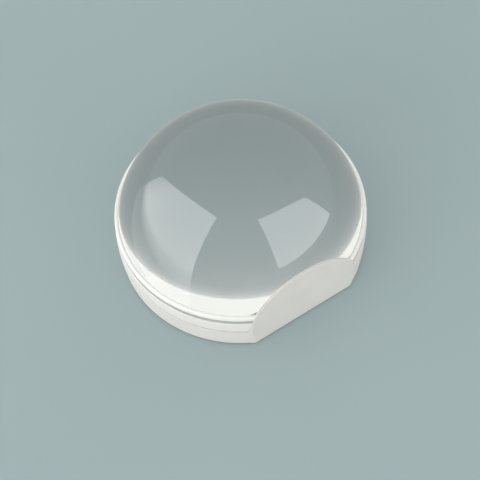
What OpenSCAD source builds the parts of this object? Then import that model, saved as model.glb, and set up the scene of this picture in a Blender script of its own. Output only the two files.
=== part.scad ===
// Dome magnifier: a solid clear dome lens in a low white base with one flat facet.
// +Z is up, the facet faces -Y, and the origin is on the dome's axis in the plane of the table.
// All lengths are in millimetres.

/* [Dome lens] */
// Radius of the spherical surface of the dome
dome_r = 43.85; // [43.5:0.05:44.2]
// Height of the dome's centre of curvature above the table
dome_centre_z = 7.45; // [7:0.05:7.9]
// Height of the top of the shoulder by which the lens sits in the base
shoulder_z = 18; // [17.8:0.1:18.2]
// Height of the sharp foot of the dome, where it meets the bezel
dome_foot_z = 18.9; // [18.6:0.1:19.2]
// Height at which the cone under the shoulder starts
cone_z = 14.6; // [14.4:0.1:14.8]
// Radius of the lens body inside the base
lens_body_r = 38.5; // [38:0.1:38.6]
// Height of the polished underside above the table
lens_bottom_z = 1.6; // [1.2:0.1:2.5]

/* [Base] */
// Largest width of the base
base_d = 88; // [87.4:0.1:89]
// Height at which the base is widest
belly_z = 9.8; // [8:0.1:11]
// Radius of the gentle outward bow of the base wall
bow_r = 88; // [70:1:140]
// Height of the base's underside above the table
base_bottom_z = 0.5; // [0.3:0.1:0.7]
// Height of the fine seam between base ring and main housing
seam_z = 9.7; // [9.5:0.1:9.9]
// Width of the slot that shows as the seam
seam_w = 0.8; // [0.4:0.05:1]
// Depth of the slot that shows as the seam
seam_depth = 1; // [0.5:0.1:1.1]
// Height of the lower edge of the grey strip
groove_z = 15.3; // [15:0.1:15.5]
// Width of the grey strip
groove_w = 2; // [1.8:0.1:2.1]
// How far the grey strip is set back from the wall
groove_depth = 0.15; // [0.1:0.05:0.4]
// Outer radius of the skirt under the bezel ring that centres the grey strip
skirt_r = 42.3; // [42.1:0.1:42.5]
// Radial clearance between lens and base
lens_gap = 0.12; // [0.05:0.01:0.25]

/* [Facet] */
// Distance of the outer face of the facet from the dome's axis
facet_y = 38.9; // [38.6:0.1:39.2]
// Thickness of the facet panel
panel_t = 0.75; // [0.6:0.05:0.9]
// Thickness of the adhesive behind the panel
tape_t = 0.15; // [0.1:0.05:0.3]
// Radius of the panel's arched outline, about the height of the dome's centre
arch_r = 22.3; // [21.8:0.1:22.8]
// Thickness of the straight housing wall behind the facet
facet_wall_t = 1.6; // [1.2:0.1:2]

/* [Fasteners and foot] */
// Number of housing screws
screw_count = 6; // [4:1:8]
// Radius of the circle of housing screws
screw_circle_r = 41.2; // [41:0.05:41.3]
// Thread diameter of a housing screw
screw_d = 1.7; // [1.4:0.1:1.8]
// Head diameter of a housing screw
screw_head_d = 3; // [2.6:0.1:3.1]
// Length of a housing screw below its head
screw_length = 11; // [10:0.5:11.5]
// Number of alignment pins
pin_count = 2; // [1:1:2]
// Diameter of an alignment pin
pin_d = 1.5; // [1.2:0.1:1.6]
// Inner radius of the foot ring
foot_inner_r = 39.6; // [39.5:0.1:39.8]
// Outer radius of the foot ring
foot_outer_r = 42.8; // [42.6:0.1:43]

/* [Hidden] */
$fn = 180;
hole_fn = 32;
over = 1;
weld = 0.1;

base_r = base_d / 2;
bezel_z = groove_z + groove_w;
back_flat_y = facet_y - panel_t - tape_t;
well_flat_y = back_flat_y - facet_wall_t;
well_r = lens_body_r + 0.5;
lens_edge_r = sqrt(pow(dome_r, 2) - pow(dome_foot_z - dome_centre_z, 2));
lens_flat_arch_r = sqrt(pow(dome_r, 2) - pow(back_flat_y, 2));
bezel_round = 0.9;
brow = 0.3;

// Snap ring and the groove it sits in
snap_z = 10.4;
snap_h = 1;
snap_inner_r = lens_body_r - 0.8;
snap_outer_r = 39.8;
snap_groove_r = snap_inner_r - 0.1;
snap_seat_r = 40;
snap_gap_half_angle = 24;
ledge_z = snap_z + snap_h;

// Screws, pins and foot
screw_arc = [-30, 210];
head_h = 1.2;
pilot_over = 0.3;
foot_top_z = base_bottom_z + 0.5;
foot_flat_y = well_flat_y - 0.3;
foot_gap = 0.1;
head_depth = 2;
head_seat_z = foot_top_z + head_depth;
pilot_top_z = head_seat_z + screw_length + pilot_over;
counterbore_d = screw_head_d + 0.3;
clearance_d = screw_d + 0.2;
core_d = screw_d - 0.2;
pin_angles = [30, 150];
pin_z = [7, 13];
hex_d = 1.1;
hex_depth = 0.6;
bottom_chamfer = 0.4;
chamfer_over = 0.3;
reach = 60;

// Facet panel and the insets of the adhesive behind it
panel_edge_slope = 0.4;
recess_gap = 0.05;
recess_reach = 10;
tape_arch_inset = 0.1;
tape_side_inset = 0.05;
tape_bottom_inset = 0.4;

// Wall angle at which the n-th screw stands, clear of the facet
function screw_angle(n) = screw_arc[0] + n * (screw_arc[1] - screw_arc[0]) / (screw_count - 1);

// Solid of the base's bowed outer form between two heights
module barrel(z0, z1, inset = 0) {
    rotate_extrude()
        intersection() {
            translate([base_r - bow_r, belly_z])
                circle(r = bow_r - inset);
            translate([0, z0])
                square([base_r + over, z1 - z0]);
        }
}

// Cuts the child off at a plane facing -Y, this far from the axis
module trim_front(flat_y) {
    difference() {
        children();
        translate([-reach, -2 * reach, -reach])
            cube([2 * reach, 2 * reach - flat_y, 3 * reach]);
    }
}

// Radius of the recess for the facet panel at a distance from the axis, following the panel's bevel
function recess_r(y) = arch_r + recess_gap + (y - facet_y) * panel_edge_slope / panel_t;

// Cuts the round bevelled recess that the facet panel lies in out of the child
module sink_facet() {
    difference() {
        children();
        translate([0, -back_flat_y, dome_centre_z])
            rotate([90, 0, 0])
                cylinder(r1 = recess_r(back_flat_y), r2 = recess_r(back_flat_y + recess_reach), h = recess_reach);
    }
}

// Upright disc between two heights
module disc(r, z0, z1) {
    translate([0, 0, z0])
        cylinder(r = r, h = z1 - z0);
}

// Space for the lens body, with its flat behind the facet
module lens_well(r, z0, z1) {
    trim_front(well_flat_y)
        disc(r, z0, z1);
}

// Triangle ring that chamfers an outer edge, opening up or down
module edge_chamfer(r, z, size, direction) {
    rotate_extrude()
        translate([r, z])
            polygon([[chamfer_over, 0], [-size, 0], [chamfer_over, direction * (size + chamfer_over)]]);
}

// Wall radius of the bowed base at a height
function wall_r(z) = base_r - bow_r + sqrt(pow(bow_r, 2) - pow(z - belly_z, 2));

// Places the children at every housing screw
module at_screws() {
    for (n = [0 : screw_count - 1])
        rotate([0, 0, screw_angle(n)])
            translate([screw_circle_r, 0, 0])
                children();
}

// Places the children at every alignment pin
module at_pins() {
    for (n = [0 : pin_count - 1])
        rotate([0, 0, pin_angles[n]])
            translate([screw_circle_r, 0, 0])
                children();
}

// Cone by which the lens sits in the bezel ring, with the flat behind the facet
module shoulder_cone(flat_y) {
    trim_front(flat_y)
        translate([0, 0, cone_z])
            cylinder(r1 = lens_body_r, r2 = lens_edge_r, h = shoulder_z - cone_z);
}

// Solid clear dome with a conical shoulder, a plain body and a groove for the snap ring
module dome_lens() {
    color([0.85, 0.93, 0.95, 0.4])
        difference() {
            trim_front(back_flat_y)
                union() {
                    intersection() {
                        translate([0, 0, dome_centre_z])
                            sphere(r = dome_r);
                        disc(lens_edge_r, shoulder_z, dome_centre_z + dome_r + over);
                    }
                    trim_front(well_flat_y - lens_gap)
                        disc(lens_body_r, lens_bottom_z, shoulder_z + weld);
                    shoulder_cone(well_flat_y - lens_gap);
                }
            difference() {
                disc(lens_body_r + over, snap_z, snap_z + snap_h);
                disc(snap_groove_r, snap_z - over, snap_z + snap_h + over);
            }
        }
}

// White ring that seats the cone of the lens, frames its foot and centres the grey strip
module bezel_ring() {
    color([0.95, 0.95, 0.93])
        sink_facet()
            difference() {
                union() {
                    barrel(bezel_z, dome_foot_z);
                    disc(skirt_r, groove_z, bezel_z + weld);
                }
                disc(lens_edge_r + lens_gap, shoulder_z, dome_foot_z + over);
                shoulder_cone(well_flat_y);
                edge_chamfer(wall_r(dome_foot_z), dome_foot_z, bezel_round, -1);
            }
}

// Grey ring clamped between bezel and housing, set a little back from the wall
module groove_seal() {
    color([0.55, 0.55, 0.54])
        sink_facet()
            difference() {
                disc(wall_r(bezel_z) - groove_depth, groove_z, bezel_z);
                disc(skirt_r, groove_z - over, bezel_z + over);
            }
}

// White band under the grey strip, with the ledge that the snap ring bears on
module main_housing() {
    color([0.91, 0.91, 0.89])
        sink_facet()
            difference() {
                barrel(seam_z, groove_z);
                lens_well(well_r, seam_z - over, groove_z + over);
                lens_well(snap_seat_r, seam_z - over, ledge_z);
                difference() {
                    disc(base_r + over, seam_z - over, seam_z + seam_w);
                    disc(wall_r(seam_z) - seam_depth, seam_z - 2 * over, seam_z + seam_w + over);
                }
                edge_chamfer(wall_r(groove_z), groove_z, brow, -1);
                at_screws()
                    translate([0, 0, seam_z - over])
                        cylinder(d = core_d, h = pilot_top_z - seam_z + over, $fn = hole_fn);
                at_pins()
                    translate([0, 0, seam_z - over])
                        cylinder(d = pin_d, h = pin_z[1] - seam_z + over, $fn = hole_fn);
            }
}

// White band under the seam, with the screw holes and the recess for the foot ring
module base_ring() {
    color([0.88, 0.88, 0.86])
        trim_front(back_flat_y)
            difference() {
                barrel(base_bottom_z, seam_z);
                lens_well(well_r, base_bottom_z - over, seam_z + over);
                edge_chamfer(wall_r(base_bottom_z), base_bottom_z, bottom_chamfer, 1);
                trim_front(foot_flat_y + foot_gap)
                    difference() {
                        disc(foot_outer_r + foot_gap, base_bottom_z - over, foot_top_z);
                        disc(foot_inner_r - foot_gap, base_bottom_z - 2 * over, foot_top_z + over);
                    }
                at_screws() {
                    translate([0, 0, foot_top_z - over])
                        cylinder(d = counterbore_d, h = head_depth + over, $fn = hole_fn);
                    translate([0, 0, foot_top_z])
                        cylinder(d = clearance_d, h = seam_z, $fn = hole_fn);
                }
                at_pins()
                    translate([0, 0, pin_z[0]])
                        cylinder(d = pin_d, h = seam_z, $fn = hole_fn);
            }
}

// Thin white plate over the flats of the base and the dome, with an arched top
module facet_panel() {
    color([0.83, 0.83, 0.81])
        intersection() {
            barrel(base_bottom_z, dome_centre_z + arch_r + over);
            translate([0, -facet_y, dome_centre_z])
                rotate([-90, 0, 0])
                    cylinder(r1 = arch_r, r2 = arch_r - panel_edge_slope, h = panel_t);
        }
}

// Adhesive sheet between the panel and the flats
module panel_tape() {
    color([0.9, 0.9, 0.85])
        intersection() {
            barrel(base_bottom_z + tape_bottom_inset, dome_centre_z + arch_r, tape_side_inset);
            translate([0, -back_flat_y - tape_t, dome_centre_z])
                rotate([-90, 0, 0])
                    cylinder(r = lens_flat_arch_r - tape_arch_inset, h = tape_t);
        }
}

// Springy C-ring that holds the lens down against the ledge of the housing
module lens_snap_ring() {
    color([0.94, 0.94, 0.92])
        difference() {
            disc(snap_outer_r, snap_z, snap_z + snap_h);
            disc(snap_inner_r, snap_z - over, snap_z + snap_h + over);
            translate([0, 0, snap_z - over])
                linear_extrude(snap_h + 2 * over)
                    polygon([
                        [0, 0],
                        [-reach * tan(snap_gap_half_angle), -reach],
                        [reach * tan(snap_gap_half_angle), -reach]
                    ]);
        }
}

// Pan-head self-tapping screws driven up from below
module housing_screws() {
    color([0.72, 0.73, 0.75])
        at_screws()
            difference() {
                union() {
                    translate([0, 0, head_seat_z - head_h])
                        cylinder(d = screw_head_d, h = head_h, $fn = hole_fn);
                    translate([0, 0, head_seat_z - weld])
                        cylinder(d = core_d, h = screw_length, $fn = hole_fn);
                }
                translate([0, 0, head_seat_z - head_h - over])
                    cylinder(d = hex_d, h = hex_depth + over, $fn = 6);
            }
}

// Dowels that keep the flats of the two white bands in line
module alignment_pins() {
    color([0.78, 0.79, 0.8])
        at_pins()
            translate([0, 0, pin_z[0]])
                cylinder(d = pin_d, h = pin_z[1] - pin_z[0], $fn = hole_fn);
}

// Soft ring that the magnifier stands and slides on
module foot_ring() {
    color([0.75, 0.76, 0.76])
        trim_front(foot_flat_y)
            difference() {
                disc(foot_outer_r, 0, foot_top_z);
                disc(foot_inner_r, -over, foot_top_z + over);
            }
}

dome_lens();
bezel_ring();
groove_seal();
main_housing();
base_ring();
facet_panel();
panel_tape();
lens_snap_ring();
housing_screws();
alignment_pins();
foot_ring();
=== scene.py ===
"""Dome magnifier on a plain pale floor: a solid clear dome lens in a low white base with one flat facet.

Sizes are in millimetres in the values below and in metres in the meshes. +Z is up and the facet faces -Y.
"""

import math

import bmesh
import bpy
from mathutils import Matrix, Vector


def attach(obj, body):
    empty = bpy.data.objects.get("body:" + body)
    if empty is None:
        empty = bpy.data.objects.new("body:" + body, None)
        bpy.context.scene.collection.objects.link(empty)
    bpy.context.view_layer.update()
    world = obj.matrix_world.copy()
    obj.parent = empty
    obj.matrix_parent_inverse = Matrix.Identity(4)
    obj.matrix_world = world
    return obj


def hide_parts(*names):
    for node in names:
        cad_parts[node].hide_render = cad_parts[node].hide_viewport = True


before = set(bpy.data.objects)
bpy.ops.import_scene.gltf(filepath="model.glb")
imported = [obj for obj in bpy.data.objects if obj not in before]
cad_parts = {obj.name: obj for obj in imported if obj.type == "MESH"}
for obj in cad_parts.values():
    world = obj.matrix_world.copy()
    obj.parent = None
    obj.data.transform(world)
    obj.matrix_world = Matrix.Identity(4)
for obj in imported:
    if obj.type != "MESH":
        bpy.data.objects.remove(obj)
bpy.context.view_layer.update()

MM = 0.001

# Steps round a turned piece
STEPS = 288

# How far a cutter reaches past what it cuts
PAST = 1.0

# Dome lens, upwards: body, conical shoulder, short edge, dome. BOND is how deep the bezel's seat sits in
# the glass, so that the two look bonded, and LENS_GAP is the gap between the body's flat and its well.
LENS_BOTTOM_Z = 1.6
LENS_BODY_R = 38.5
CONE_Z = 14.6
SHOULDER_Z = 18.0
DOME_FOOT_Z = 18.9
DOME_R = 43.85
DOME_CENTRE_Z = 7.45
LENS_GAP = 0.12
BOND = 0.04
LENS_EDGE_R = math.sqrt(DOME_R**2 - (DOME_FOOT_Z - DOME_CENTRE_Z) ** 2)

# Base: the bowed outer wall, the seam between its two bands and the groove under the bezel
BASE_R = 44.0
BELLY_Z = 9.8
BOW_R = 88.0
BASE_BOTTOM_Z = 0.5
SEAM_Z = 9.7
SEAM_W = 0.8
SEAM_DEPTH = 1.0
GROOVE_Z = 15.3
BEZEL_Z = 17.3
GROOVE_DEPTH = 0.12
SKIRT_R = 42.3
WELL_R = 39.0

# Snap ring, from SNAP_Z up to LEDGE_Z
SNAP_Z = 10.4
LEDGE_Z = 11.4
SNAP_INNER_R = 37.7
SNAP_OUTER_R = 39.8
SNAP_SEAT_R = 40.0
SNAP_GAP = 0.1

# Facet, inwards: plate, tape, the wall in front of the lens's well
FACET_Y = 38.9
PANEL_T = 0.75
TAPE_T = 0.15
FACET_WALL_T = 1.6
BACK_Y = FACET_Y - PANEL_T - TAPE_T
WELL_Y = BACK_Y - FACET_WALL_T
ARCH_R = 22.3
ARCH_SLOPE = 0.4
RECESS_GAP = 0.03
TAPE_ARCH_INSET = 0.06
TAPE_SIDE_INSET = 0.03
TAPE_BOTTOM_INSET = 0.4
TAPE_ARCH_R = math.sqrt(DOME_R**2 - BACK_Y**2) - TAPE_ARCH_INSET

# Foot ring, how far its ends stop behind the well's flat, and the gap round it in its pocket
FOOT_INNER_R = 39.6
FOOT_OUTER_R = 42.8
FOOT_SETBACK = 0.3
FOOT_Y = WELL_Y - FOOT_SETBACK
FOOT_TOP_Z = 1.0
FOOT_GAP = 0.1

# Camera: angles in radians, distance from the origin in metres, focal length in millimetres, lens shift, and
# aim as slopes off the line to the origin
CAM_AZIMUTH = math.radians(-29.8)
CAM_ELEVATION = 1.02573
CAM_ROLL = 0.06707
CAM_DISTANCE = 0.400
CAM_LENS = 83.32
CAM_SHIFT = (-0.0047, 0.0054)
CAM_AIM = (-0.0003, 0.00717)


def wall_r(z):
    """Radius of the bowed wall of the base at a height."""
    return BASE_R - BOW_R + math.sqrt(BOW_R**2 - (z - BELLY_Z) ** 2)


def arc(r_centre, z_centre, radius, start, end, steps):
    """Points of an arc in the (radius, height) plane, angles in degrees."""
    points = []
    for i in range(steps + 1):
        a = math.radians(start + (end - start) * i / steps)
        points.append((r_centre + radius * math.cos(a), z_centre + radius * math.sin(a)))
    return points


def wall(z0, z1, steps=14):
    """Points up the outer wall of the base."""
    return [(wall_r(z), z) for z in (z0 + (z1 - z0) * i / steps for i in range(steps + 1))]


# ---------------------------------------------------------------- meshes


def revolve(profile, closed=False):
    """Bmesh of the profile, a list of (radius, height), turned about Z. A closed profile makes a ring."""
    bm = bmesh.new()
    rings = []
    for r, z in profile:
        if r < 1e-6:
            rings.append([bm.verts.new((0, 0, z * MM))])
            continue
        ring = []
        for i in range(STEPS):
            a = 2 * math.pi * (i + 0.5) / STEPS
            ring.append(bm.verts.new((r * math.cos(a) * MM, r * math.sin(a) * MM, z * MM)))
        rings.append(ring)
    pairs = list(zip(rings, rings[1:]))
    if closed:
        pairs.append((rings[-1], rings[0]))
    for lower, upper in pairs:
        for i in range(STEPS):
            j = (i + 1) % STEPS
            if len(lower) == 1:
                bm.faces.new((lower[0], upper[i], upper[j]))
            elif len(upper) == 1:
                bm.faces.new((lower[i], upper[0], lower[j]))
            else:
                bm.faces.new((lower[i], upper[i], upper[j], lower[j]))
    bmesh.ops.recalc_face_normals(bm, faces=bm.faces)
    return bm


def cut_front(bm, flat_y):
    """Cuts everything beyond the plane y = -flat_y off and closes the cut."""
    normal = Vector((0, -1, 0))
    geom = bm.verts[:] + bm.edges[:] + bm.faces[:]
    cut = bmesh.ops.bisect_plane(
        bm, geom=geom, plane_co=normal * flat_y * MM, plane_no=normal, clear_outer=True, dist=1e-7
    )
    edges = [e for e in cut["geom_cut"] if isinstance(e, bmesh.types.BMEdge)]
    bmesh.ops.triangle_fill(bm, edges=edges, use_beauty=True)
    bmesh.ops.recalc_face_normals(bm, faces=bm.faces)
    return bm


def finish_mesh(name, bm, sharp=24):
    """Object from a bmesh, smooth but for edges sharper than the angle in degrees."""
    mesh = bpy.data.meshes.new(name)
    bm.to_mesh(mesh)
    bm.free()
    obj = bpy.data.objects.new(name, mesh)
    bpy.context.scene.collection.objects.link(obj)
    shade(obj, sharp)
    return obj


def shade(obj, sharp):
    """Smooth shading with crisp edges."""
    for polygon in obj.data.polygons:
        polygon.use_smooth = True
    obj.data.set_sharp_from_angle(angle=math.radians(sharp))


def carve(obj, cutters, sharp=24):
    """Takes the cutters away from the object, for good."""
    for cutter in cutters:
        modifier = obj.modifiers.new("carve", "BOOLEAN")
        modifier.operation = "DIFFERENCE"
        modifier.solver = "EXACT"
        modifier.object = cutter
    depsgraph = bpy.context.evaluated_depsgraph_get()
    carved = bpy.data.meshes.new_from_object(obj.evaluated_get(depsgraph))
    obj.modifiers.clear()
    old = obj.data
    obj.data = carved
    bpy.data.meshes.remove(old)
    for cutter in cutters:
        bpy.data.objects.remove(cutter)
    shade(obj, sharp)
    return obj


def d_prism(name, r, flat_y, z0, z1):
    """Upright cylinder with one flat, used to carve the space for the lens."""
    bm = cut_front(revolve([(0, z0), (r, z0), (r, z1), (0, z1)]), flat_y)
    return finish_mesh(name, bm)


def facet_recess():
    """Cutter for the round recess that the facet plate lies in, following the plate's bevel."""
    reach = 10.0
    bevel = ARCH_SLOPE / PANEL_T
    near = ARCH_R + RECESS_GAP - bevel * (PANEL_T + TAPE_T)
    bm = revolve([(0, 0), (near, 0), (near + bevel * reach, reach), (0, reach)])
    turn = Matrix.Rotation(math.radians(90), 4, "X")
    bm.transform(Matrix.Translation((0, -BACK_Y * MM, DOME_CENTRE_Z * MM)) @ turn)
    return finish_mesh("recess", bm)


def box(name, low, high):
    """Plain block used as a cutter."""
    bm = bmesh.new()
    bmesh.ops.create_cube(bm, size=1)
    low, high = Vector(low) * MM, Vector(high) * MM
    for v in bm.verts:
        v.co = Vector([low[i] + (high[i] - low[i]) * (v.co[i] + 0.5) for i in range(3)])
    return finish_mesh(name, bm)


# ---------------------------------------------------------------- pieces


def make_lens():
    """The solid clear dome, its conical shoulder, its body and the groove for the snap ring."""
    edge = 0.35
    groove_r = SNAP_INNER_R - SNAP_GAP
    profile = [(0, LENS_BOTTOM_Z)]
    profile += [(LENS_BODY_R - edge, LENS_BOTTOM_Z), (LENS_BODY_R, LENS_BOTTOM_Z + edge)]
    profile += [(LENS_BODY_R, SNAP_Z), (groove_r, SNAP_Z), (groove_r, LEDGE_Z), (LENS_BODY_R, LEDGE_Z)]
    profile += [(LENS_BODY_R, CONE_Z), (LENS_EDGE_R, SHOULDER_Z)]
    foot_angle = math.degrees(math.asin((DOME_FOOT_Z - DOME_CENTRE_Z) / DOME_R))
    profile += arc(0, DOME_CENTRE_Z, DOME_R, foot_angle, 90, 110)[:-1]
    profile += [(0, DOME_CENTRE_Z + DOME_R)]
    sharp = 15
    lens = finish_mesh("lens_dome", cut_front(revolve(profile), BACK_Y), sharp)
    beside, ahead = 50, 60
    front = box("cut", (-beside, -ahead, 0), (beside, LENS_GAP - WELL_Y, SHOULDER_Z))
    return carve(lens, [front], sharp)


def make_bezel():
    """White trim ring round the foot of the dome, with its rounded top, conical seat and skirt."""
    top_drop, top_steps = 0.9, 8
    lip, inner_lip = 0.1, 0.02
    glass_gap = 0.02
    profile = [(0, GROOVE_Z), (SKIRT_R, GROOVE_Z), (SKIRT_R, BEZEL_Z)]
    profile += arc(wall_r(BEZEL_Z) - lip, BEZEL_Z + lip, lip, -90, 0, 4)
    profile += wall(BEZEL_Z + 2 * lip, DOME_FOOT_Z - top_drop, 4)
    inner = LENS_EDGE_R + glass_gap
    wall_top = wall_r(DOME_FOOT_Z - top_drop)
    reach = wall_top - inner - 2 * inner_lip
    for i in range(1, top_steps + 1):
        a = math.radians(90 * i / top_steps)
        profile.append((wall_top - reach * (1 - math.cos(a)), DOME_FOOT_Z - top_drop * (1 - math.sin(a))))
    profile += arc(inner + inner_lip, DOME_FOOT_Z - inner_lip, inner_lip, 90, 180, 3)
    ledge = SHOULDER_Z + BOND
    profile += [(inner, ledge), (0, ledge)]
    bezel = finish_mesh("bezel_trim", cut_front(revolve(profile), FACET_Y))
    slope = (LENS_EDGE_R - LENS_BODY_R) / (SHOULDER_Z - CONE_Z)
    low_r = LENS_BODY_R - slope * PAST - BOND
    high_r = LENS_EDGE_R - BOND
    low_z, high_z = CONE_Z - PAST, DOME_FOOT_Z + PAST
    cone = [(0, low_z), (low_r, low_z), (high_r, SHOULDER_Z), (high_r, high_z), (0, high_z)]
    seat = finish_mesh("seat", cut_front(revolve(cone), WELL_Y))
    return carve(bezel, [seat, facet_recess()])


def make_seal():
    """Grey strip between bezel and housing, on a narrower foot that leaves a fine shadow line. Its grey is
    partly painted shade for the groove.
    """
    outer = wall_r(BEZEL_Z) - GROOVE_DEPTH
    edge, foot_w, foot_h = 0.12, 0.35, 0.55
    profile = [(SKIRT_R, GROOVE_Z), (SKIRT_R + foot_w, GROOVE_Z), (SKIRT_R + foot_w, GROOVE_Z + foot_h)]
    profile += arc(outer - edge, GROOVE_Z + foot_h + edge, edge, -90, 0, 5)
    profile += arc(outer - edge, BEZEL_Z - edge, edge, 0, 90, 5)
    profile += [(SKIRT_R, BEZEL_Z)]
    return carve(finish_mesh("groove_strip", revolve(profile, closed=True)), [facet_recess()])


def make_housing():
    """Upper white band, from the seam to the groove."""
    lip = 0.1
    brow = 0.35
    slot_z = SEAM_Z + SEAM_W
    slot_r = wall_r(SEAM_Z) - SEAM_DEPTH
    profile = [(0, SEAM_Z), (slot_r, SEAM_Z), (slot_r, slot_z)]
    profile += arc(wall_r(slot_z) - lip, slot_z + lip, lip, -90, 0, 4)
    profile += wall(slot_z + 2 * lip, GROOVE_Z - 1.5 * brow)
    profile += arc(wall_r(GROOVE_Z) - brow, GROOVE_Z - brow, brow, 4, 90, 7)
    profile += [(0, GROOVE_Z)]
    housing = finish_mesh("housing_band", revolve(profile))
    well = d_prism("well", WELL_R, WELL_Y, SEAM_Z - PAST, GROOVE_Z + PAST)
    seat = d_prism("seat", SNAP_SEAT_R, WELL_Y, SEAM_Z - PAST, LEDGE_Z)
    return carve(housing, [well, seat, facet_recess()])


def pocket_profile():
    """Outline of the foot ring's pocket."""
    inner, outer = FOOT_INNER_R - FOOT_GAP, FOOT_OUTER_R + FOOT_GAP
    return [(inner, -PAST), (outer, -PAST), (outer, FOOT_TOP_Z), (inner, FOOT_TOP_Z)]


def make_base():
    """Lower white band, with the well for the lens and the pocket for the foot ring."""
    lip = 0.1
    foot_round = 0.4
    bottom_r = wall_r(BASE_BOTTOM_Z)
    profile = [(0, BASE_BOTTOM_Z)]
    profile += arc(bottom_r - foot_round, BASE_BOTTOM_Z + foot_round, foot_round, -90, -6, 6)
    profile += wall(BASE_BOTTOM_Z + 1.2 * foot_round, SEAM_Z - 2 * lip, 18)
    profile += arc(wall_r(SEAM_Z) - lip, SEAM_Z - lip, lip, 0, 90, 5)
    profile += [(0, SEAM_Z)]
    base = finish_mesh("base_band", cut_front(revolve(profile), BACK_Y))
    well = d_prism("well", WELL_R, WELL_Y, BASE_BOTTOM_Z - PAST, SEAM_Z + PAST)
    pocket = revolve(pocket_profile(), closed=True)
    pocket = finish_mesh("pocket", cut_front(pocket, FOOT_Y + FOOT_GAP))
    return carve(base, [well, pocket])


def make_foot():
    """Soft foot ring with rounded edges and fine grip grooves underneath."""
    edge = 0.25
    grooves, depth, half = 3, 0.14, 0.16
    profile = [(FOOT_INNER_R, FOOT_TOP_Z)]
    profile += arc(FOOT_INNER_R + edge, edge, edge, 180, 270, 5)
    for n in range(grooves):
        r = FOOT_INNER_R + (FOOT_OUTER_R - FOOT_INNER_R) * (n + 1) / (grooves + 1)
        profile += [(r - half, 0), (r - half * 0.4, depth), (r + half * 0.4, depth), (r + half, 0)]
    profile += arc(FOOT_OUTER_R - edge, edge, edge, 270, 360, 5)
    profile += [(FOOT_OUTER_R, FOOT_TOP_Z)]
    bm = revolve(profile, closed=True)
    return finish_mesh("foot_pad", cut_front(bm, FOOT_Y))


def make_snap_ring():
    """Springy C-ring with rounded edges and narrowed tips."""
    steps, edge = 220, 0.15
    half_gap, tip, tip_cut = 24.0, 6.0, 0.45
    sweep = 360 - 2 * half_gap
    bm = bmesh.new()
    sections = []
    for i in range(steps + 1):
        t = i / steps
        angle = math.radians(-90 + half_gap + sweep * t)
        near_tip = min(t, 1 - t) * sweep / tip
        outer = SNAP_OUTER_R - tip_cut * (1 - min(1.0, near_tip)) ** 2
        outline = arc(outer - edge, LEDGE_Z - edge, edge, 0, 90, 3)
        outline += arc(SNAP_INNER_R + edge, LEDGE_Z - edge, edge, 90, 180, 3)
        outline += arc(SNAP_INNER_R + edge, SNAP_Z + edge, edge, 180, 270, 3)
        outline += arc(outer - edge, SNAP_Z + edge, edge, 270, 360, 3)
        section = []
        for r, z in outline:
            section.append(bm.verts.new((r * math.cos(angle) * MM, r * math.sin(angle) * MM, z * MM)))
        sections.append(section)
    count = len(sections[0])
    for first, second in zip(sections, sections[1:]):
        for i in range(count):
            j = (i + 1) % count
            bm.faces.new((first[i], second[i], second[j], first[j]))
    bm.faces.new(sections[0])
    bm.faces.new(sections[-1])
    bmesh.ops.recalc_face_normals(bm, faces=bm.faces)
    return finish_mesh("snap_c_ring", bm)


def plate_outline(y, arch_r, side_inset, bottom_z):
    """Outline of the facet at a distance y from the axis: bottom edge, bowed sides and arched top."""
    side_steps, arch_steps, halvings = 24, 96, 60

    def side_x(z):
        return math.sqrt((wall_r(z) - side_inset) ** 2 - y**2)

    def arch_x(z):
        return math.sqrt(max(arch_r**2 - (z - DOME_CENTRE_Z) ** 2, 0))

    meet = DOME_CENTRE_Z
    if side_x(meet) < arch_r:
        top = DOME_CENTRE_Z + arch_r - 1e-6
        for _ in range(halvings):
            middle = (meet + top) / 2
            meet, top = (middle, top) if side_x(middle) < arch_x(middle) else (meet, middle)
    heights = [bottom_z + (meet - bottom_z) * i / side_steps for i in range(side_steps)]
    right = [(side_x(z), z) for z in heights]
    start = math.atan2(meet - DOME_CENTRE_Z, side_x(meet))
    arch = []
    for i in range(arch_steps + 1):
        a = start + (math.pi - 2 * start) * i / arch_steps
        arch.append((arch_r * math.cos(a), DOME_CENTRE_Z + arch_r * math.sin(a)))
    left = [(-x, z) for x, z in reversed(right)]
    return right + arch + left


def inset_outline(points, distance):
    """Outline moved inwards by a distance, by the mean normal at each point."""
    least_spread = 0.5
    moved = []
    count = len(points)
    for i, (x, z) in enumerate(points):
        before, after = points[i - 1], points[(i + 1) % count]
        ux, uz = x - before[0], z - before[1]
        vx, vz = after[0] - x, after[1] - z
        lu, lv = math.hypot(ux, uz), math.hypot(vx, vz)
        nx = -uz / lu - vz / lv
        nz = ux / lu + vx / lv
        length = math.hypot(nx, nz)
        nx, nz = nx / length, nz / length
        spread = max(least_spread, nx * -uz / lu + nz * ux / lu)
        moved.append((x + nx * distance / spread, z + nz * distance / spread))
    return moved


def plate(name, layers):
    """Plate from outlines at given distances y from the axis, closed at both ends."""
    bm = bmesh.new()
    loops = []
    for y, points in layers:
        loops.append([bm.verts.new((x * MM, -y * MM, z * MM)) for x, z in points])
    count = len(loops[0])
    for first, second in zip(loops, loops[1:]):
        for i in range(count):
            j = (i + 1) % count
            bm.faces.new((first[i], second[i], second[j], first[j]))
    bm.faces.new(loops[0])
    bm.faces.new(loops[-1])
    bmesh.ops.recalc_face_normals(bm, faces=bm.faces)
    obj = finish_mesh(name, bm, sharp=35)
    for polygon in obj.data.polygons:
        if len(polygon.vertices) > 4:
            polygon.use_smooth = False
    return obj


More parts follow.
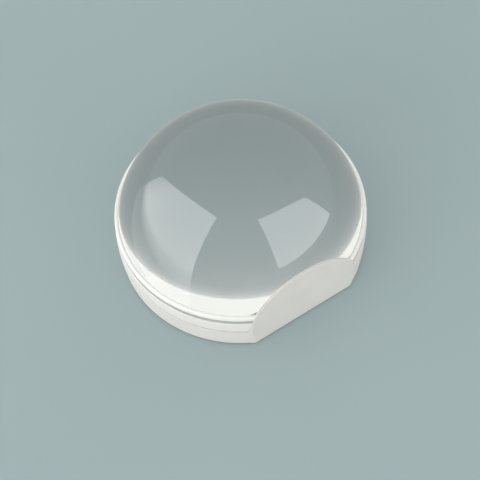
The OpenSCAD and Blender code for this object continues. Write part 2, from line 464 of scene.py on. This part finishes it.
def make_panel():
    """Thin facet plate with a bevelled arch and a rounded front edge."""
    edge, edge_steps, side_steps = 0.15, 5, 8
    back = FACET_Y - PANEL_T

    def outline(y):
        slope = ARCH_SLOPE * (FACET_Y - y) / PANEL_T
        return plate_outline(y, ARCH_R - slope, 0, BASE_BOTTOM_Z)

    layers = []
    for i in range(side_steps + 1):
        y = back + (PANEL_T - edge) * i / side_steps
        layers.append((y, outline(y)))
    for i in range(1, edge_steps + 1):
        a = math.radians(90 * i / edge_steps)
        y = FACET_Y - edge + edge * math.sin(a)
        layers.append((y, inset_outline(outline(min(y, FACET_Y)), edge * (1 - math.cos(a)))))
    return plate("facet_plate", layers)


def make_tape():
    """Adhesive sheet between the facet plate and the flats."""
    bottom_z = BASE_BOTTOM_Z + TAPE_BOTTOM_INSET
    layers = []
    for y in (BACK_Y, BACK_Y + TAPE_T):
        layers.append((y, plate_outline(y, TAPE_ARCH_R, TAPE_SIDE_INSET, bottom_z)))
    return plate("tape_sheet", layers)


# ---------------------------------------------------------------- materials


class Shader:
    """A procedural material: a Principled shader and short helpers to feed it."""

    def __init__(self, name, **values):
        self.material = bpy.data.materials.new(name)
        self.material.use_nodes = True
        self.tree = self.material.node_tree
        self.principled = self.tree.nodes["Principled BSDF"]
        for key, value in values.items():
            self.principled.inputs[key.replace("_", " ")].default_value = value
        self.position = self.node("ShaderNodeTexCoord").outputs["Object"]

    def node(self, kind, **values):
        made = self.tree.nodes.new(kind)
        for key, value in values.items():
            made.inputs[key.replace("_", " ")].default_value = value
        return made

    def link(self, source, target):
        self.tree.links.new(source, target)

    def noise(self, scale, detail=2.0, stretch=(1, 1, 1)):
        """Noise factor at a scale in cycles per metre."""
        mapping = self.node("ShaderNodeMapping", Scale=stretch)
        self.link(self.position, mapping.inputs["Vector"])
        noise = self.node("ShaderNodeTexNoise", Scale=scale, Detail=detail)
        self.link(mapping.outputs["Vector"], noise.inputs["Vector"])
        return noise.outputs["Fac"]

    def span(self, factor, low, high, start=0.3, end=0.7):
        """The factor stretched from low to high."""
        made = self.node("ShaderNodeMapRange")
        self.link(factor, made.inputs["Value"])
        for key, value in zip(("From Min", "From Max", "To Min", "To Max"), (start, end, low, high)):
            made.inputs[key].default_value = value
        return made.outputs["Result"]

    def ramp(self, factor, low, high, start=0.3, end=0.7):
        """The factor as a colour between two colours."""
        made = self.node("ShaderNodeValToRGB")
        made.color_ramp.elements[0].position = start
        made.color_ramp.elements[1].position = end
        made.color_ramp.elements[0].color = (*low, 1)
        made.color_ramp.elements[1].color = (*high, 1)
        self.link(factor, made.inputs["Fac"])
        return made.outputs["Color"]

    def bump(self, height, strength, distance):
        """Bump from a height, distance in metres."""
        made = self.node("ShaderNodeBump", Strength=strength, Distance=distance)
        self.link(height, made.inputs["Height"])
        self.link(made.outputs["Normal"], self.principled.inputs["Normal"])

    def feed(self, socket, output):
        self.link(output, self.principled.inputs[socket])


def white_plastic(name, low, high, roughness):
    """Moulded white plastic: a fine even texture, faint tone changes and small changes in gloss."""
    s = Shader(name, IOR=1.5)
    s.feed("Base Color", s.ramp(s.noise(70, 3), low, high))
    s.feed("Roughness", s.span(s.noise(420, 3), roughness - 0.03, roughness + 0.05))
    s.bump(s.noise(5200, 2), 0.05, 0.00003)
    return s.material


def clear_acrylic():
    """Polished solid acrylic with hardly visible wiping marks."""
    s = Shader("clear_acrylic", IOR=1.506, Transmission_Weight=1.0, Base_Color=(1, 1, 1, 1))
    s.feed("Roughness", s.span(s.noise(90, 4, (1, 3, 1)), 0.0, 0.004, 0.5, 0.75))
    return s.material


def silicone(name, low, high, roughness):
    """Matte moulded silicone with a soft grain."""
    s = Shader(name, IOR=1.41)
    s.feed("Base Color", s.ramp(s.noise(300, 3), low, high))
    s.feed("Roughness", s.span(s.noise(900, 2), roughness - 0.05, roughness + 0.05))
    s.bump(s.noise(3800, 3), 0.12, 0.00004)
    return s.material


def metal(name, low, high, roughness):
    """Plated steel with fine turning marks."""
    s = Shader(name, Metallic=1.0)
    s.feed("Base Color", s.ramp(s.noise(900, 2), low, high))
    s.feed("Roughness", s.span(s.noise(2600, 3, (1, 1, 6)), roughness - 0.06, roughness + 0.1))
    s.bump(s.noise(6000, 2, (1, 1, 5)), 0.1, 0.00002)
    return s.material


def adhesive():
    """Off-white double-sided sheet with a cloudy, slightly fibrous look."""
    s = Shader("adhesive_sheet", Roughness=0.62)
    s.feed("Base Color", s.ramp(s.noise(800, 4, (1, 1, 3)), (0.80, 0.80, 0.76), (0.87, 0.87, 0.84)))
    s.bump(s.noise(2400, 3), 0.1, 0.00003)
    return s.material


# ---------------------------------------------------------------- studio


def make_floor():
    """Plain pale floor, lighter away from the object. Reflections see the surroundings instead of it."""
    half_width = 2.4
    near_end, far_start = 0.15, 0.24
    bm = bmesh.new()
    bmesh.ops.create_grid(bm, x_segments=8, y_segments=8, size=half_width)
    floor = finish_mesh("floor", bm)
    s = Shader("floor_pale", Roughness=0.7)
    near = s.ramp(s.noise(6, 2), (0.32, 0.405, 0.43), (0.34, 0.425, 0.45))
    distance = s.node("ShaderNodeVectorMath")
    distance.operation = "LENGTH"
    s.link(s.position, distance.inputs[0])
    mix = s.node("ShaderNodeMix")
    mix.data_type = "RGBA"
    s.link(s.span(distance.outputs["Value"], 0, 1, near_end, far_start), mix.inputs["Factor"])
    s.link(near, mix.inputs["A"])
    mix.inputs["B"].default_value = (0.86, 0.87, 0.86, 1)
    s.feed("Base Color", mix.outputs["Result"])
    floor.data.materials.append(s.material)
    floor.visible_glossy = False


def place(azimuth, elevation, distance):
    """Point seen from the origin in a direction, azimuth from the camera's side, in degrees."""
    a = math.radians(azimuth) + CAM_AZIMUTH
    e = math.radians(elevation)
    return Vector((math.sin(a) * math.cos(e), -math.cos(a) * math.cos(e), math.sin(e))) * distance


def area_light(name, width, height, radiance):
    """Rectangular area light of a size in metres that shines with a radiance."""
    light = bpy.data.lights.new(name, "AREA")
    light.shape = "RECTANGLE"
    light.size, light.size_y = width, height
    light.energy = radiance * math.pi * width * height
    obj = bpy.data.objects.new(name, light)
    bpy.context.scene.collection.objects.link(obj)
    return obj


def softbox(name, azimuth, elevation, distance, size, radiance):
    """Area light that faces the middle of the dome and doesn't show in reflections."""
    obj = area_light(name, *size, radiance)
    obj.location = place(azimuth, elevation, distance)
    aim = Vector((0, 0, 0.02)) - obj.location
    obj.rotation_euler = aim.to_track_quat("-Z", "Y").to_euler()
    obj.visible_glossy = False
    obj.visible_transmission = False


def fade(light, low_edge, far_edge):
    """Lets a panel fade towards its lower edge and, less so, its far end, between these parts of its size.
    At its least it is about as bright as the surroundings, so that its edge doesn't show."""
    low_left, far_left, least = 0.0, 0.3, 0.14
    light.use_nodes = True
    tree = light.node_tree
    emission = tree.nodes["Emission"]
    uv = tree.nodes.new("ShaderNodeSeparateXYZ")
    tree.links.new(tree.nodes.new("ShaderNodeNewGeometry").outputs["Parametric"], uv.inputs[0])
    product = tree.nodes.new("ShaderNodeMath")
    product.operation = "MULTIPLY"
    edges = (("Y", low_edge, low_left), ("X", far_edge, far_left))
    for i, (axis, (start, end), left_over) in enumerate(edges):
        ramp = tree.nodes.new("ShaderNodeMapRange")
        tree.links.new(uv.outputs[axis], ramp.inputs["Value"])
        ramp.inputs["From Min"].default_value = start
        ramp.inputs["From Max"].default_value = end
        ramp.inputs["To Min"].default_value = left_over
        tree.links.new(ramp.outputs["Result"], product.inputs[i])
    strength = tree.nodes.new("ShaderNodeMath")
    strength.operation = "MULTIPLY_ADD"
    tree.links.new(product.outputs["Value"], strength.inputs[0])
    strength.inputs[1].default_value = 1 - least
    strength.inputs[2].default_value = least
    tree.links.new(strength.outputs["Value"], emission.inputs["Strength"])


def panel(name, azimuth, distance, along, heights, radiance):
    """Upright light that only shows in reflections: it faces the axis from an azimuth on the camera's
    side, and runs along its own plane and between two heights, both in multiples of the distance."""
    facing = place(azimuth, 0, 1.0)
    across = place(azimuth + 90, 0, 1.0)
    width, height = ((b - a) * distance for a, b in (along, heights))
    obj = area_light(name, width, height, radiance)
    obj.location = (facing + across * sum(along) / 2) * distance
    obj.location.z = sum(heights) / 2 * distance
    obj.rotation_euler = (-facing).to_track_quat("-Z", "Y").to_euler()
    obj.visible_diffuse = False
    obj.visible_transmission = False
    return obj


def make_lights():
    """Two panels that give the dome its two highlights, and a softbox for the side of the base."""
    left = panel("panel_left", -42, 0.8, along=(-5.0, 0.0), heights=(-0.9, 1.63), radiance=4.2)
    fade(left.data, low_edge=(0.27, 0.42), far_edge=(0.0, 0.6))
    panel("panel_right", 24.5, 0.8, along=(0.06, 2.2), heights=(0.2, 1.57), radiance=3.7)
    softbox("fill_side", -48, 18, 1.2, size=(1.4, 0.7), radiance=1.3)


def make_world():
    """Even pale surroundings, a little darker overhead and much darker below the horizon."""
    world = bpy.data.worlds.new("studio")
    world.use_nodes = True
    tree = world.node_tree
    background = tree.nodes["Background"]
    coordinates = tree.nodes.new("ShaderNodeTexCoord")
    split = tree.nodes.new("ShaderNodeSeparateXYZ")
    ramp = tree.nodes.new("ShaderNodeValToRGB")
    tint = (0.985, 1.0, 0.96)
    steps = ((0.0, 0.55), (0.06, 0.955), (0.85, 0.955), (1.0, 0.76))
    for position, _ in steps[1:3]:
        ramp.color_ramp.elements.new(position)
    for element, (position, value) in zip(ramp.color_ramp.elements, steps):
        element.position = position
        element.color = (*(channel * value for channel in tint), 1)
    tree.links.new(coordinates.outputs["Generated"], split.inputs["Vector"])
    tree.links.new(split.outputs["Z"], ramp.inputs["Fac"])
    tree.links.new(ramp.outputs["Color"], background.inputs["Color"])
    background.inputs["Strength"].default_value = 1.0
    bpy.context.scene.world = world


def make_camera():
    """Camera that looks down on the dome from the facet's side, a little rolled and aimed near the axis."""
    camera = bpy.data.cameras.new("camera")
    camera.sensor_width = 36.0
    camera.lens = CAM_LENS
    camera.shift_x, camera.shift_y = CAM_SHIFT
    obj = bpy.data.objects.new("camera", camera)
    bpy.context.scene.collection.objects.link(obj)
    back = place(0, math.degrees(CAM_ELEVATION), 1.0)
    right = Vector((math.cos(CAM_AZIMUTH), math.sin(CAM_AZIMUTH), 0))
    axes = Matrix((right, back.cross(right), back)).transposed()
    aim = Vector((CAM_AIM[0], CAM_AIM[1], -1)).normalized()
    turn = Vector((0, 0, -1)).rotation_difference(aim).to_matrix() @ Matrix.Rotation(CAM_ROLL, 3, "Z")
    world = axes @ turn.transposed()
    obj.matrix_world = Matrix.Translation(back * CAM_DISTANCE) @ world.to_4x4()
    bpy.context.scene.camera = obj


# ---------------------------------------------------------------- assembly


def assemble():
    """Every piece with its material, its slot and the CAD node it stands for."""
    # Painted light and shade: one white plastic in three copies, lightest on the bezel at the top, darker on
    # the housing band and darkest on the base and facet plate, as light falls from above.
    white = white_plastic("white_abs", (0.86, 0.85, 0.83), (0.90, 0.89, 0.87), 0.30)
    white_band_shaded = white_plastic("white_abs_band_shaded", (0.83, 0.805, 0.78), (0.86, 0.835, 0.81), 0.42)
    white_base_shaded = white_plastic("white_abs_base_shaded", (0.78, 0.745, 0.72), (0.82, 0.785, 0.755), 0.44)
    acrylic = clear_acrylic()
    # Painted shade: the seal is a real part, and its grey is partly painted shade for the shadow line in the
    # groove under the bezel.
    seal = silicone("grey_silicone", (0.42, 0.42, 0.41), (0.49, 0.49, 0.48), 0.55)
    foot = silicone("foot_silicone", (0.55, 0.57, 0.57), (0.66, 0.67, 0.67), 0.6)
    acetal = white_plastic("natural_acetal", (0.80, 0.80, 0.77), (0.84, 0.84, 0.81), 0.4)
    rows = [
        (make_lens(), "dome_lens", acrylic, "clear_acrylic"),
        (make_bezel(), "bezel_ring", white, "white_abs"),
        (make_seal(), "groove_seal", seal, "grey_silicone"),
        (make_housing(), "main_housing", white_band_shaded, "white_abs"),
        (make_base(), "base_ring", white_base_shaded, "white_abs"),
        (make_panel(), "facet_panel", white_base_shaded, "white_abs"),
        (make_tape(), "panel_tape", adhesive(), "adhesive_sheet"),
        (make_snap_ring(), "lens_snap_ring", acetal, "natural_acetal"),
        (make_foot(), "foot_ring", foot, "foot_silicone"),
    ]
    for piece, node, material, slot in rows:
        piece.data.materials.clear()
        piece.data.materials.append(material)
        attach(piece, "root")
        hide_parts(node)
    steel = metal("screw_steel", (0.52, 0.53, 0.54), (0.66, 0.67, 0.68), 0.3)
    pin = metal("pin_steel", (0.60, 0.60, 0.61), (0.74, 0.74, 0.75), 0.22)
    for node, material in (("housing_screws", steel), ("alignment_pins", pin)):
        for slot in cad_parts[node].material_slots:
            slot.material = material


assemble()
make_floor()
make_world()
make_lights()
make_camera()
bpy.context.scene.view_settings.view_transform = "Standard"
